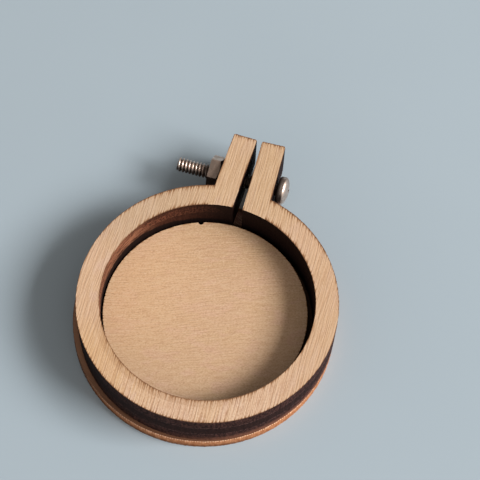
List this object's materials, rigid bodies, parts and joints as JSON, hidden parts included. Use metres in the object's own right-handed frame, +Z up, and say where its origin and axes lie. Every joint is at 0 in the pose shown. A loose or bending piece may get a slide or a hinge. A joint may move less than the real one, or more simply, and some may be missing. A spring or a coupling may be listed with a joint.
{
  "type": "embroidery hoop",
  "caption": "Small round wooden display hoop: split ring with clamping ears, screw and hex nut, over a disc for stretched cloth and a thin back plate.",
  "frame": {"origin": "on the ring's axis, on the underside of the back plate", "axes": "+Z up out of the hoop's face, +Y from the ring's centre to the ears, +X along the clamp screw towards its head"},
  "size_m": [0.0498, 0.0607, 0.0112],
  "materials": {
    "ring_ply": "bare sanded face, laser-charred dark brown edges",
    "disc_ply": "bare sanded face, laser-charred dark brown edge",
    "plate_ply": "bare sanded faces, caramel-brown laser-cut edge",
    "screw_steel": "bright plated steel",
    "nut_steel": "dull plated steel"
  },
  "bodies": {
    "backing": {"back_plate": "plate_ply"},
    "ring": {"outer_ring": "ring_ply"},
    "disc": {"fabric_disc": "disc_ply"},
    "screw": {"clamp_screw": "screw_steel"},
    "nut": {"hex_nut": "nut_steel"}
  },
  "joints": [
    {"name": "ring_lift", "type": "slide", "parent": "backing", "child": "ring", "axis": [0, 0, 1], "range_m": [0, 0.008]},
    {"name": "disc_lift", "type": "slide", "parent": "ring", "child": "disc", "axis": [0, 0, 1], "range_m": [0, 0.01]},
    {"name": "screw_turn", "type": "hinge", "parent": "ring", "child": "screw", "pos_m": [0, 0.0286, 0.0069], "axis": [1, 0, 0], "range_deg": [0, 2880]},
    {"name": "nut_travel", "type": "slide", "parent": "ring", "child": "nut", "axis": [-1, 0, 0], "range_m": [0, 0.00552]}
  ],
  "couplings": [
    {"joint": "screw_turn", "follows": "nut_travel", "rad_per_m": 9106.1}
  ]
}
